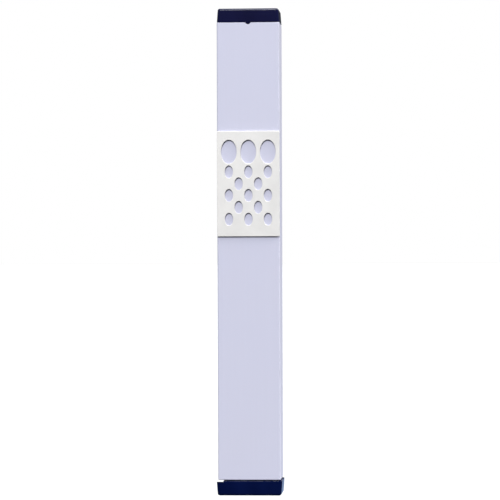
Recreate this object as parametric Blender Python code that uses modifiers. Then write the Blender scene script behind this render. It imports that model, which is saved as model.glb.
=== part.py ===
"""A slim doorpost case for a rolled parchment.

An extruded aluminium channel carries a perforated plate on its front and is closed by a plastic
cap at each end. Dovetailed lips at its back slide down over a strip that two countersunk screws
hold on the doorpost. Inside stands the parchment, rolled in a clear sleeve.

Units are metres. +Z is up, +X is to the right of somebody who faces the case and +Y points into the
doorpost. The origin is the middle of the face that lies on the doorpost.
"""

import math

import bmesh
import bpy

# Driving dimensions.
OVERALL_HEIGHT = 0.1555
CASE_WIDTH = 0.0200
CASE_DEPTH = 0.0150
WALL = 0.0013
TOP_FLANGE = 0.0045
BOTTOM_FLANGE = 0.0050
PLATE_HEIGHT = 0.0336
PLATE_THICKNESS = 0.0003
PLATE_DROP = 0.0347
STRIP_THICKNESS = 0.0020
SCROLL_HEIGHT = 0.1000
SCROLL_RADIUS = 0.00525

# Fits.
SLIDING_GAP = 0.0003
SEAT_GAP = 0.0001
BOTTOM_SEAT_GAP = 0.0003
FILM_GAP = 0.00005

# Channel, measured from the doorpost towards the front.
CASE_BACK = -SLIDING_GAP
CASE_FRONT = CASE_BACK - CASE_DEPTH
INNER_FRONT = CASE_FRONT + WALL
INNER_HALF_WIDTH = CASE_WIDTH / 2 - WALL
LIP_FRONT = CASE_BACK - WALL
CASE_TOP = OVERALL_HEIGHT / 2 - TOP_FLANGE
CASE_BOTTOM = -OVERALL_HEIGHT / 2 + BOTTOM_FLANGE
CORNER_RADIUS = 0.0004
INNER_RADIUS = 0.0003
LIP_RADIUS = 0.0004
END_CHAMFER = 0.00015
KEY_NOTCH_RADIUS = 0.00095
KEY_NOTCH_DEPTH = 0.0006

# Dovetail of the back strip.
STRIP_HALF_WIDTH = 0.0067
DOVETAIL_SLOPE = 0.6
STRIP_TOP = CASE_TOP - SEAT_GAP
STRIP_BOTTOM = -OVERALL_HEIGHT / 2 + 0.0005
STRIP_EDGE_RADIUS = 0.0002

# Screws of the strip.
SCREW_HEIGHT = 0.060
SCREW_LENGTH = 0.0160
SCREW_RADIUS = 0.00145
SCREW_HEAD_RADIUS = 0.0028
SCREW_HEAD_SINK = 0.0002
SCREW_HEAD_RIM = 0.00015
SCREW_TIP_LENGTH = 0.0035
SCREW_STEPS = 24
HOLE_RADIUS = 0.0018
SINK_RADIUS = 0.0032
CROSS_LENGTH = 0.0030
CROSS_WIDTH = 0.0006
CROSS_DEPTH = 0.0011

# Perforated plate and the film behind it.
FILM_THICKNESS = 0.00015
FILM_INSET = 0.0002
PLATE_TOP = CASE_TOP - PLATE_DROP
PLATE_MIDDLE = PLATE_TOP - PLATE_HEIGHT / 2
FILM_BACK = CASE_FRONT - FILM_GAP
PLATE_BACK = FILM_BACK - FILM_THICKNESS - FILM_GAP
PLATE_CORNER_RADIUS = 0.0003
HOLE_PITCH = 0.00623
LARGE_HOLE = (0.0025, 0.0038)
SMALL_HOLE = (0.0013, 0.0020)
LARGE_ROW_DROP = 0.0066
SMALL_ROW_DROPS = (0.0130, 0.0168, 0.0205, 0.0243, 0.0281)
LARGE_HOLE_STEPS = 32
SMALL_HOLE_STEPS = 24

# Caps.
FLANGE_OVERHANG = 0.0005
FLANGE_DRAFT = 0.0003
TOP_EDGE_RADIUS = 0.0006
BOTTOM_EDGE_RADIUS = 0.0007
CORNER_MARGIN = 0.0003
FLANGE_ROOF = 0.0015
PLUG_LENGTH = 0.0100
PLUG_GAP = 0.00045
PLUG_WALL = 0.0012
PLUG_CORNER_RADIUS = 0.0010
RIB_RADIUS = 0.0005
RIB_PROUD = 0.0003
RIB_SETBACK = 0.0015
RIB_STEPS = 16
ROD_STEPS = 24
KEY_GAP = 0.0001
PRY_SLOT_WIDTH = 0.0022
PRY_SLOT_FRONT = 0.00025
PRY_SLOT_BACK = 0.0016

# Scroll and its sleeve.
PARCHMENT_THICKNESS = 0.0003
PARCHMENT_PITCH = 0.0006
PARCHMENT_TURNS = 3.75
PARCHMENT_STEPS = 24
SLEEVE_CLEARANCE = 0.00025
SLEEVE_WALL = 0.0002
SLEEVE_LENGTH = 0.1040
SLEEVE_STEPS = 40

ARC_STEPS = 4
CUT_PAST = 0.001  # how far a cutter reaches past the face it opens
COLLECTION = "parchment_case"


def clear_scene():
    for obj in list(bpy.data.objects):
        bpy.data.objects.remove(obj)


def add_collection(name):
    collection = bpy.data.collections.new(name)
    bpy.context.scene.collection.children.link(collection)
    return collection


def srgb(*values):
    """Linear colour of three 0 to 255 display values, with alpha."""
    shares = [value / 255 for value in values]
    return [((s + 0.055) / 1.055) ** 2.4 if s > 0.04 else s / 12.92 for s in shares] + [1.0]


def add_material(name, colour, roughness, metallic=0.0):
    material = bpy.data.materials.new(name)
    material.use_nodes = True
    shader = material.node_tree.nodes["Principled BSDF"]
    shader.inputs["Base Color"].default_value = colour
    shader.inputs["Roughness"].default_value = roughness
    shader.inputs["Metallic"].default_value = metallic
    material.diffuse_color = colour
    return material


def rounded(corners):
    """Outline through (x, y, radius) corners, each turned by an arc of that radius."""
    points = []
    for i, (x, y, radius) in enumerate(corners):
        before = corners[i - 1]
        after = corners[(i + 1) % len(corners)]
        to_before = unit(before[0] - x, before[1] - y)
        to_after = unit(after[0] - x, after[1] - y)
        half = math.acos(to_before[0] * to_after[0] + to_before[1] * to_after[1]) / 2
        middle = unit(to_before[0] + to_after[0], to_before[1] + to_after[1])
        reach = radius / math.sin(half)
        centre = (x + middle[0] * reach, y + middle[1] * reach)
        run = radius / math.tan(half)
        start = math.atan2(y + to_before[1] * run - centre[1], x + to_before[0] * run - centre[0])
        end = math.atan2(y + to_after[1] * run - centre[1], x + to_after[0] * run - centre[0])
        turn = (end - start + math.pi) % (2 * math.pi) - math.pi
        for step in range(ARC_STEPS + 1):
            angle = start + turn * step / ARC_STEPS
            points.append((centre[0] + radius * math.cos(angle), centre[1] + radius * math.sin(angle)))
    return points


def unit(x, y):
    length = math.hypot(x, y)
    return x / length, y / length


def rectangle(x0, x1, y0, y1, radius):
    return rounded([(x0, y0, radius), (x1, y0, radius), (x1, y1, radius), (x0, y1, radius)])


def oval(x, y, half_width, half_height, steps):
    angles = [2 * math.pi * step / steps for step in range(steps)]
    return [(x + half_width * math.cos(a), y + half_height * math.sin(a)) for a in angles]


def extruded(name, outlines, thickness, collection, chamfer=0.0):
    """Mesh of a flat filled outline, with its holes, centred on its thickness along local Z. The rims
    of both ends can be chamfered.
    """
    curve = bpy.data.curves.new(name, "CURVE")
    curve.dimensions = "2D"
    curve.fill_mode = "BOTH"
    curve.extrude = thickness / 2 - chamfer
    curve.bevel_depth = chamfer
    curve.bevel_resolution = 0
    curve.offset = -chamfer
    for outline in outlines:
        spline = curve.splines.new("POLY")
        spline.points.add(len(outline) - 1)
        spline.use_cyclic_u = True
        for point, (x, y) in zip(spline.points, outline):
            point.co = (x, y, 0, 1)
    drawn = bpy.data.objects.new(name + "_outline", curve)
    bpy.context.scene.collection.objects.link(drawn)
    graph = bpy.context.evaluated_depsgraph_get()
    mesh = bpy.data.meshes.new_from_object(drawn.evaluated_get(graph))
    bpy.data.objects.remove(drawn)
    obj = bpy.data.objects.new(name, welded(mesh))
    collection.objects.link(obj)
    return obj


def welded(mesh):
    shape = bmesh.new()
    shape.from_mesh(mesh)
    bmesh.ops.remove_doubles(shape, verts=shape.verts, dist=1e-6)
    bmesh.ops.recalc_face_normals(shape, faces=shape.faces)
    shape.to_mesh(mesh)
    shape.free()
    return mesh


def turned(name, profile, steps, collection):
    """Solid of revolution about local Z of (radius, height) points that run down the outer side."""
    mesh = bpy.data.meshes.new(name)
    shape = bmesh.new()
    verts = [shape.verts.new((radius, 0, height)) for radius, height in profile]
    for upper, lower in zip(verts, verts[1:]):
        shape.edges.new((upper, lower))
    shape.to_mesh(mesh)
    shape.free()
    obj = bpy.data.objects.new(name, mesh)
    collection.objects.link(obj)
    screw = obj.modifiers.new("turn", "SCREW")
    screw.steps = steps
    screw.render_steps = steps
    screw.use_merge_vertices = True
    screw.merge_threshold = 1e-5
    screw.use_smooth_shade = False
    return obj


def block(name, low, high, collection):
    mesh = bpy.data.meshes.new(name)
    shape = bmesh.new()
    bmesh.ops.create_cube(shape, size=1)
    sides = [b - a for a, b in zip(low, high)]
    bmesh.ops.scale(shape, vec=sides, verts=shape.verts)
    bmesh.ops.translate(shape, vec=[(a + b) / 2 for a, b in zip(low, high)], verts=shape.verts)
    shape.to_mesh(mesh)
    shape.free()
    obj = bpy.data.objects.new(name, mesh)
    collection.objects.link(obj)
    return obj


def combine(target, other, operation):
    """Boolean of the target with a helper, which is left out of the model."""
    other.hide_render = True
    other.display_type = "WIRE"
    boolean = target.modifiers.new(other.name, "BOOLEAN")
    boolean.operation = operation
    boolean.object = other


def add_rod(name, radius, length, steps, collection):
    """Cylinder along local Z, centred."""
    mesh = bpy.data.meshes.new(name)
    shape = bmesh.new()
    bmesh.ops.create_cone(
        shape, cap_ends=True, segments=steps, radius1=radius, radius2=radius, depth=length
    )
    shape.to_mesh(mesh)
    shape.free()
    rod = bpy.data.objects.new(name, mesh)
    collection.objects.link(rod)
    return rod


def soften(obj, angle=35):
    """Smooth shading, broken at the edges."""
    obj.data.shade_smooth()
    obj.data.set_sharp_from_angle(angle=math.radians(angle))


def finish(obj, material, parent):
    """Material and parent of a piece whose place is already right in the world."""
    obj.data.materials.append(material)
    obj.parent = parent
    bpy.context.view_layer.update()
    obj.matrix_parent_inverse = parent.matrix_world.inverted()


def add_axis(name, place, parent, collection):
    """Empty on a joint's axis, which the moving pieces hang from."""
    empty = bpy.data.objects.new(name, None)
    empty.empty_display_size = 0.01
    collection.objects.link(empty)
    empty.location = place
    if parent:
        bpy.context.view_layer.update()
        empty.parent = parent
        empty.matrix_parent_inverse = parent.matrix_world.inverted()
    bpy.context.view_layer.update()
    return empty


def dovetail_half_width(y):
    """Half width of the back strip at a distance y from the doorpost, which is negative."""
    return STRIP_HALF_WIDTH - y * DOVETAIL_SLOPE


def add_channel(parts, cutters):
    """C section: a front, two sides and two lips whose tips slant like the strip's edges."""
    across = SLIDING_GAP * math.hypot(1, DOVETAIL_SLOPE)
    half = CASE_WIDTH / 2
    tip_back = dovetail_half_width(CASE_BACK) + across
    tip_front = dovetail_half_width(LIP_FRONT) + across
    right = [
        (half, CASE_FRONT, CORNER_RADIUS),
        (half, CASE_BACK, CORNER_RADIUS),
        (tip_back, CASE_BACK, LIP_RADIUS),
        (tip_front, LIP_FRONT, LIP_RADIUS),
        (INNER_HALF_WIDTH, LIP_FRONT, INNER_RADIUS),
        (INNER_HALF_WIDTH, INNER_FRONT, INNER_RADIUS),
    ]
    left = [(-x, y, radius) for x, y, radius in reversed(right)]
    height = CASE_TOP - CASE_BOTTOM
    channel = extruded("case_channel", [rounded(right + left)], height, parts, chamfer=END_CHAMFER)
    channel.location.z = (CASE_TOP + CASE_BOTTOM) / 2
    notch = crosswise_rod("key_notch", KEY_NOTCH_RADIUS, CASE_FRONT - WALL, INNER_FRONT + WALL, cutters)
    combine(channel, notch, "DIFFERENCE")
    soften(channel)
    return channel


def crosswise_rod(name, radius, front, back, cutters):
    """Rod along Y at the height where it makes the key and its notch in the top of the front wall."""
    rod = add_rod(name, radius, back - front, ROD_STEPS, cutters)
    rod.rotation_euler.x = math.radians(90)
    rod.location = (0, (front + back) / 2, CASE_TOP + KEY_NOTCH_RADIUS - KEY_NOTCH_DEPTH)
    return rod


def plate_outlines(inset):
    """Outer edge and holes of the plate, drawn from its centre and moved inwards by inset."""
    half_width = CASE_WIDTH / 2 - inset
    half_height = PLATE_HEIGHT / 2 - inset
    outlines = [rectangle(-half_width, half_width, -half_height, half_height, PLATE_CORNER_RADIUS)]
    top = PLATE_HEIGHT / 2
    large = [length + inset for length in LARGE_HOLE]
    small = [length + inset for length in SMALL_HOLE]
    for column in (-1, 0, 1):
        outlines.append(oval(column * HOLE_PITCH, top - LARGE_ROW_DROP, *large, LARGE_HOLE_STEPS))
    for row, drop in enumerate(SMALL_ROW_DROPS):
        columns = (-0.5, 0.5) if row % 2 else (-1, 0, 1)
        for column in columns:
            outlines.append(oval(column * HOLE_PITCH, top - drop, *small, SMALL_HOLE_STEPS))
    return outlines


def add_plate(name, inset, back, thickness, parts):
    """Flat perforated sheet on the front of the channel."""
    plate = extruded(name, plate_outlines(inset), thickness, parts)
    plate.rotation_euler.x = math.radians(90)
    plate.location = (0, back - thickness / 2, PLATE_MIDDLE)
    soften(plate)
    return plate


def add_flange(name, seat, height, side, overhang, edge_radius, parts):
    """Drafted block with round edges. side is 1 where it tops the channel and -1 under it."""
    half = CASE_WIDTH / 2 + overhang
    front = CASE_FRONT - overhang
    corner_radius = edge_radius + CORNER_MARGIN
    flange = extruded(name, [rectangle(-half, half, front, CASE_BACK, corner_radius)], height, parts)
    flange.location.z = seat + side * height / 2
    shape = bmesh.new()
    shape.from_mesh(flange.data)
    far = [vert for vert in shape.verts if vert.co.z * side > 0]
    middle_y = (front + CASE_BACK) / 2
    for vert in far:
        vert.co.x *= 1 - FLANGE_DRAFT / half
        vert.co.y = middle_y + (vert.co.y - middle_y) * (1 - 2 * FLANGE_DRAFT / (CASE_BACK - front))
    rim = [edge for edge in shape.edges if all(vert in far for vert in edge.verts)]
    rim = [edge for edge in rim if any(abs(face.normal.z) < 0.5 for face in edge.link_faces)]
    bmesh.ops.bevel(shape, geom=rim, offset=edge_radius, segments=3, profile=0.5, affect="EDGES")
    shape.to_mesh(flange.data)
    shape.free()
    return flange


def add_cap(name, seat, height, side, overhang, edge_radius, parts, cutters):
    """Flange over the end of the channel, with a hollow ribbed plug inside the channel."""
    cap = add_flange(name, seat, height, side, overhang, edge_radius, parts)
    plug_half = INNER_HALF_WIDTH - PLUG_GAP
    plug_front = INNER_FRONT + PLUG_GAP
    plug_back = -STRIP_THICKNESS - SLIDING_GAP
    into_flange = side * height / 3
    plug_end = seat - side * PLUG_LENGTH
    plug_outline = rectangle(-plug_half, plug_half, plug_front, plug_back, PLUG_CORNER_RADIUS)
    plug = extruded(name + "_plug", [plug_outline], abs(plug_end - seat - into_flange), cutters)
    plug.location.z = (plug_end + seat + into_flange) / 2
    combine(cap, plug, "UNION")
    rib_low, rib_high = sorted((seat + into_flange / 2, plug_end + side * RIB_SETBACK))
    inward = RIB_RADIUS - RIB_PROUD
    for mirror in (-1, 1):
        spots = [
            (mirror * (plug_half - inward), plug_front * 0.7 + plug_back * 0.3),
            (mirror * (plug_half - inward), plug_front * 0.3 + plug_back * 0.7),
            (mirror * plug_half * 0.6, plug_front + inward),
        ]
        for i, (x, y) in enumerate(spots):
            rib = add_rod(f"{name}_rib_{mirror + 1}{i}", RIB_RADIUS, rib_high - rib_low, RIB_STEPS, cutters)
            rib.location = (x, y, (rib_low + rib_high) / 2)
            combine(cap, rib, "UNION")
    pocket_low, pocket_high = sorted((plug_end - side * CUT_PAST, seat + side * (height - FLANGE_ROOF)))
    pocket_outline = rectangle(
        -plug_half + PLUG_WALL,
        plug_half - PLUG_WALL,
        plug_front + PLUG_WALL,
        plug_back - PLUG_WALL,
        PLUG_CORNER_RADIUS / 2,
    )
    pocket = extruded(name + "_pocket", [pocket_outline], pocket_high - pocket_low, cutters)
    pocket.location.z = (pocket_low + pocket_high) / 2
    combine(cap, pocket, "DIFFERENCE")
    return cap


def cut_strip_notch(cap, cutters):
    """Opening at the back of the bottom flange, through which the back strip passes."""
    across = SLIDING_GAP * math.hypot(1, DOVETAIL_SLOPE)
    front = -STRIP_THICKNESS - SLIDING_GAP
    back = CUT_PAST
    wide = dovetail_half_width(front) + across
    narrow = dovetail_half_width(back) + across
    corners = [
        (-wide, front, STRIP_EDGE_RADIUS),
        (wide, front, STRIP_EDGE_RADIUS),
        (narrow, back, STRIP_EDGE_RADIUS),
        (-narrow, back, STRIP_EDGE_RADIUS),
    ]
    notch = extruded("strip_notch", [rounded(corners)], 4 * BOTTOM_FLANGE, cutters)
    notch.location.z = CASE_BOTTOM - BOTTOM_FLANGE / 2
    combine(cap, notch, "DIFFERENCE")


def cut_pry_slot(cap, cutters):
    """Relief under the channel's left wall, where a blade goes in to lift the bottom cap out. It gets
    deeper towards the back, as the blade tips down there.
    """
    seat = CASE_BOTTOM - BOTTOM_SEAT_GAP
    left = -CASE_WIDTH / 2 - FLANGE_OVERHANG
    front, back = CASE_FRONT - FLANGE_OVERHANG, CASE_BACK
    slope = (PRY_SLOT_BACK - PRY_SLOT_FRONT) / (back - front)
    corners = [
        (front - CUT_PAST, seat + CUT_PAST / 2),
        (back + CUT_PAST, seat + CUT_PAST / 2),
        (back + CUT_PAST, seat - PRY_SLOT_BACK - slope * CUT_PAST),
        (front - CUT_PAST, seat - PRY_SLOT_FRONT + slope * CUT_PAST),
    ]
    slot = extruded("pry_slot", [corners], PRY_SLOT_WIDTH + CUT_PAST, cutters)
    slot.rotation_euler = (math.radians(90), 0, math.radians(90))
    slot.location.x = left + (PRY_SLOT_WIDTH - CUT_PAST) / 2
    combine(cap, slot, "DIFFERENCE")


def add_key(cap, cutters):
    """Half round key that drops into the notch of the front wall, so that the cap goes in one way."""
    front, back = CASE_FRONT + KEY_GAP, INNER_FRONT + 2 * PLUG_GAP
    key = crosswise_rod("key", KEY_NOTCH_RADIUS - KEY_GAP, front, back, cutters)
    combine(cap, key, "UNION")


def add_strip(parts, cutters):
    """Dovetailed strip with two countersunk holes."""
    front = dovetail_half_width(-STRIP_THICKNESS)
    corners = [
        (-front, -STRIP_THICKNESS, STRIP_EDGE_RADIUS),
        (front, -STRIP_THICKNESS, STRIP_EDGE_RADIUS),
        (STRIP_HALF_WIDTH, 0, STRIP_EDGE_RADIUS),
        (-STRIP_HALF_WIDTH, 0, STRIP_EDGE_RADIUS),
    ]
    strip = extruded("back_strip", [rounded(corners)], STRIP_TOP - STRIP_BOTTOM, parts)
    strip.location.z = (STRIP_TOP + STRIP_BOTTOM) / 2
    sink_depth = SINK_RADIUS - HOLE_RADIUS
    for level in (-1, 1):
        profile = [
            (0, CUT_PAST),
            (SINK_RADIUS + CUT_PAST, CUT_PAST),
            (SINK_RADIUS, 0),
            (HOLE_RADIUS, -sink_depth),
            (HOLE_RADIUS, -STRIP_THICKNESS - CUT_PAST),
            (0, -STRIP_THICKNESS - CUT_PAST),
        ]
        hole = turned(f"screw_hole_{level + 1}", profile, SCREW_STEPS, cutters)
        hole.rotation_euler.x = math.radians(90)
        hole.location = (0, -STRIP_THICKNESS, level * SCREW_HEIGHT)
        combine(strip, hole, "DIFFERENCE")
    soften(strip)
    return strip


def add_screw(name, height, parts, cutters):
    """Countersunk wood screw with a cross recess, its head towards the front."""
    cone = SCREW_HEAD_RADIUS - SCREW_RADIUS
    profile = [
        (0, 0),
        (SCREW_HEAD_RADIUS, 0),
        (SCREW_HEAD_RADIUS, -SCREW_HEAD_RIM),
        (SCREW_RADIUS, -SCREW_HEAD_RIM - cone),
        (SCREW_RADIUS, -SCREW_LENGTH + SCREW_TIP_LENGTH),
        (0, -SCREW_LENGTH),
    ]
    screw = turned(name, profile, SCREW_STEPS, parts)
    screw.rotation_euler.x = math.radians(90)
    face = -STRIP_THICKNESS + SCREW_HEAD_SINK
    screw.location = (0, face, height)
    half, width = CROSS_LENGTH / 2, CROSS_WIDTH / 2
    front, bottom = face - CUT_PAST, face + CROSS_DEPTH
    arm = block(name + "_slot_x", (-half, front, height - width), (half, bottom, height + width), cutters)
    combine(screw, arm, "DIFFERENCE")
    arm = block(name + "_slot_z", (-width, front, height - half), (width, bottom, height + half), cutters)
    combine(screw, arm, "DIFFERENCE")
    soften(screw)
    return screw


def scroll_place():
    """Middle of the scroll's foot: it stands on the rims of the bottom plug, clear of the strip."""
    sleeve_radius = SCROLL_RADIUS + SLEEVE_CLEARANCE + SLEEVE_WALL
    room_front, room_back = INNER_FRONT, -STRIP_THICKNESS
    assert room_back - room_front > 2 * sleeve_radius
    return (room_front + room_back) / 2, CASE_BOTTOM + PLUG_LENGTH + SLIDING_GAP


def add_parchment(parts):
    """Sheet rolled into a spiral, as a closed band extruded over its height."""
    steps = round(PARCHMENT_TURNS * PARCHMENT_STEPS)
    outer, inner = [], []
    for step in range(steps + 1):
        angle = 2 * math.pi * step / PARCHMENT_STEPS
        radius = SCROLL_RADIUS - PARCHMENT_PITCH * step / PARCHMENT_STEPS
        outer.append((radius * math.cos(angle), radius * math.sin(angle)))
        radius -= PARCHMENT_THICKNESS
        inner.append((radius * math.cos(angle), radius * math.sin(angle)))
    parchment = extruded("parchment_scroll", [outer + inner[::-1]], SCROLL_HEIGHT, parts)
    y, foot = scroll_place()
    parchment.location = (0, y, foot + SLEEVE_LENGTH / 2)
    soften(parchment)
    return parchment


def add_sleeve(parts):
    inner = SCROLL_RADIUS + SLEEVE_CLEARANCE
    outer = inner + SLEEVE_WALL
    rings = [oval(0, 0, outer, outer, SLEEVE_STEPS), oval(0, 0, inner, inner, SLEEVE_STEPS)]
    sleeve = extruded("scroll_sleeve", rings, SLEEVE_LENGTH, parts)
    y, foot = scroll_place()
    sleeve.location = (0, y, foot + SLEEVE_LENGTH / 2)
    soften(sleeve)
    return sleeve


def build():
    clear_scene()
    parts = add_collection(COLLECTION)
    cutters = add_collection("cutters")

    lavender = add_material("lavender_anodised", srgb(208, 209, 227), 0.4, 0.6)
    silver = add_material("blasted_aluminium", srgb(234, 234, 233), 0.45, 0.7)
    film = add_material("adhesive_film", srgb(225, 222, 212), 0.6)
    navy = add_material("navy_plastic", srgb(22, 26, 61), 0.35)
    mill = add_material("mill_aluminium", srgb(196, 198, 201), 0.4, 1.0)
    zinc = add_material("zinc_plate", srgb(200, 198, 190), 0.3, 1.0)
    skin = add_material("parchment", srgb(232, 219, 188), 0.8)
    clear = add_material("clear_film", srgb(235, 240, 244), 0.15)

    middle = (CASE_FRONT + CASE_BACK) / 2
    strip_root = add_axis("wall_strip_root", (0, 0, 0), None, parts)
    case_axis = add_axis("case_slide_axis", (0, -STRIP_THICKNESS / 2, 0), strip_root, parts)
    top_axis = add_axis("top_cap_axis", (0, middle, CASE_TOP), case_axis, parts)
    bottom_axis = add_axis("bottom_cap_axis", (0, middle, CASE_BOTTOM), case_axis, parts)
    scroll_axis = add_axis("scroll_axis", (0, *scroll_place()), bottom_axis, parts)

    finish(add_strip(parts, cutters), mill, strip_root)
    finish(add_screw("upper_screw", SCREW_HEIGHT, parts, cutters), zinc, strip_root)
    finish(add_screw("lower_screw", -SCREW_HEIGHT, parts, cutters), zinc, strip_root)

    finish(add_channel(parts, cutters), lavender, case_axis)
    finish(add_plate("perforated_plate", 0, PLATE_BACK, PLATE_THICKNESS, parts), silver, case_axis)
    finish(add_plate("plate_adhesive", FILM_INSET, FILM_BACK, FILM_THICKNESS, parts), film, case_axis)

    top_seat = CASE_TOP + SEAT_GAP
    top_height = TOP_FLANGE - SEAT_GAP
    top_cap = add_cap("top_cap", top_seat, top_height, 1, 0, TOP_EDGE_RADIUS, parts, cutters)
    add_key(top_cap, cutters)
    soften(top_cap)
    finish(top_cap, navy, top_axis)

    bottom_seat = CASE_BOTTOM - BOTTOM_SEAT_GAP
    bottom_height = BOTTOM_FLANGE - BOTTOM_SEAT_GAP
    bottom_cap = add_cap(
        "bottom_cap", bottom_seat, bottom_height, -1, FLANGE_OVERHANG, BOTTOM_EDGE_RADIUS, parts, cutters
    )
    cut_strip_notch(bottom_cap, cutters)
    cut_pry_slot(bottom_cap, cutters)
    soften(bottom_cap)
    finish(bottom_cap, navy, bottom_axis)

    finish(add_parchment(parts), skin, scroll_axis)
    finish(add_sleeve(parts), clear, scroll_axis)


build()
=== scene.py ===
"""Looks of a slim doorpost case for a rolled parchment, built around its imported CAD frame.

Every CAD node but the adhesive film is replaced by a finer mesh of the same size and place: edges
are rounded, screws have threads, the parchment has its wrap. Units are metres, +Z is up, +Y points
into the doorpost and the front faces -Y. Places come from the boxes of the CAD nodes.
"""

import math

import bmesh
import bpy
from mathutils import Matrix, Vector


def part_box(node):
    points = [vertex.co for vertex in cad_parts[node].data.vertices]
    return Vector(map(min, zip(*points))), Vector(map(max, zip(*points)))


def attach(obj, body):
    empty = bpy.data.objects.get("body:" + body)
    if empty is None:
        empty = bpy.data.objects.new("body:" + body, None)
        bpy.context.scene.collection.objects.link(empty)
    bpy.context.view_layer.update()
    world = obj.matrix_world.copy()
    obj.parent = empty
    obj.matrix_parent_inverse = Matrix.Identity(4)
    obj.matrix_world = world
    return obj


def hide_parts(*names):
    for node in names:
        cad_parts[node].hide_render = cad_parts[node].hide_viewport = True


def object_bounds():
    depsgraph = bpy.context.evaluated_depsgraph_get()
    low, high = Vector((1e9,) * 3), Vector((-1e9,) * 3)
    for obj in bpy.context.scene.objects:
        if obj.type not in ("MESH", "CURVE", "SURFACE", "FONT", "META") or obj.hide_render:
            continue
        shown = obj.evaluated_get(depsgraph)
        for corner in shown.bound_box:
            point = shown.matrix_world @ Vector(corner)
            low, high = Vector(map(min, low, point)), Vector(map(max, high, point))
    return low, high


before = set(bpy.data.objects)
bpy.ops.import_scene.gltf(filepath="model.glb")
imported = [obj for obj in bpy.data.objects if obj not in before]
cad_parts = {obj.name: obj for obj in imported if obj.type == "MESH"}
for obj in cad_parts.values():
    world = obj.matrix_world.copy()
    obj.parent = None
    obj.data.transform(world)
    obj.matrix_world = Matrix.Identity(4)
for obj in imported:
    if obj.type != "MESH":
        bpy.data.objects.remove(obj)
CAD_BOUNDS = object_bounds()

# View of the front, turned a little to the right.
CAMERA_DISTANCE = 0.90
CAMERA_AZIMUTH = math.radians(3.6)
CAMERA_ROLL = math.radians(-0.2)
CAMERA_OFFSET = (-0.00005, 0.00062)  # to the right and up
FIELD_HEIGHT = 0.1594
SENSOR = 36.0

FLOOR_DROP = 0.034
FLOOR_SIZE = 40.0

# Light from all around: an even base, more of it from above, and a glow off the floor from behind.
WORLD_BASE = 0.06
WORLD_SKY = 0.75
WORLD_GLOW = 0.7
SKY_RISE = (0.09, 0.5)  # upward parts of a direction between which the sky gets brighter
GLOW_FALL = (-0.02, -0.1)  # upward and backward parts between which the glow sets in
GLOW_TURN = (0.2, 0.9)
SKY_COLOUR = (0.88, 0.94, 1, 1)
GLOW_COLOUR = (0.42, 0.6, 1, 1)

# Lights from far away: azimuth, elevation, strength and width. Azimuth 0 is the front, 90 the right.
KEY_LIGHT = (-6, 37, 2.84, 16)
TOP_LIGHT = (20, 82, 1.6, 60)
SIDE_LIGHT = (92, 48, 4.5, 40)
SIDE_COLOUR = (1, 0.985, 0.92)

# Section sizes that the boxes of the nodes don't give.
WALL = 0.0013
SLIDING_GAP = 0.0003
STRIP_HALF_WIDTH = 0.0067
DOVETAIL_SLOPE = 0.6
CORNER_RADIUS = 0.0004
INNER_RADIUS = 0.0003
LIP_RADIUS = 0.0004
END_CHAMFER = 0.00015
KEY_NOTCH_RADIUS = 0.00095
KEY_NOTCH_DEPTH = 0.0006
KEY_GAP = 0.0001
SEAT_GAP = 0.0001
BOTTOM_SEAT_GAP = 0.0003

# Perforated plate.
PLATE_CORNER_RADIUS = 0.0003
PLATE_EDGE = 0.0001
HOLE_PITCH = 0.00623
LARGE_HOLE = (0.0025, 0.0038)
SMALL_HOLE = (0.0013, 0.0020)
LARGE_ROW_DROP = 0.0066
SMALL_ROW_DROPS = (0.0130, 0.0168, 0.0205, 0.0243, 0.0281)

# Caps.
FLANGE_OVERHANG = 0.0005
FLANGE_DRAFT = 0.0003
FLANGE_ROOF = 0.0015
TOP_EDGE_RADIUS = 0.0006
BOTTOM_EDGE_RADIUS = 0.0007
CORNER_MARGIN = 0.0003
PLUG_LENGTH = 0.0100
PLUG_GAP = 0.00045
PLUG_WALL = 0.0012
PLUG_BACK = -0.0023
PLUG_CORNER_RADIUS = 0.0010
LEAD_IN = 0.00025
LEAD_IN_LENGTH = 0.0009
POCKET_DRAFT = 0.0001
ROOF_RADIUS = 0.0003
MOUTH_RADIUS = 0.00012
TIP_RADIUS = 0.0002
FILLET_RADIUS = 0.0002
FINE_EDGE = 0.00008
RIB_RADIUS = 0.0005
RIB_PROUD = 0.0003
RIB_ROOT = 0.0008  # how far a rib runs into its flange
RIB_SETBACK = 0.0015
RIB_TAPER = 0.0012
RIB_SIDE_SHARE = 0.3
RIB_FRONT_SHARE = 0.6
PRY_SLOT_WIDTH = 0.0022
PRY_SLOT_FRONT = 0.00025
PRY_SLOT_BACK = 0.0016
PRY_SLOT_RISE = 0.0005  # how far the cut starts above the flange

# Strip and screws.
STRIP_EDGE_RADIUS = 0.0002
STRIP_END_RADIUS = 0.0001
HOLE_RADIUS = 0.0018
SINK_RADIUS = 0.0032
SCREW_RADIUS = 0.00145
SCREW_CORE = 0.00100
SCREW_NECK = 0.0035  # depth at which the thread starts
SCREW_NECK_SHARE = 0.95
SCREW_TIP_LENGTH = 0.0035
SCREW_POINT_RADIUS = 0.00001
HEAD_RIM = 0.00015
HEAD_EDGE = 0.00006
NECK_FLARE_SHARE = 0.04
NECK_BLEND = 0.0003
CORE_TAPER = (0.04, 0.8)  # least share of the radius, and the power that it follows along the tip
CREST_TAPER = (0.05, 0.7)
SCREW_STEPS = 48
THREAD_PITCH = 0.0013
THREAD_RINGS = 18
THREAD_CREST_SHARE = 0.2
CROSS_LENGTH = 0.0030
CROSS_WIDTH = 0.0006
CROSS_DEPTH = 0.0011
CROSS_TAPER = 0.55

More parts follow.
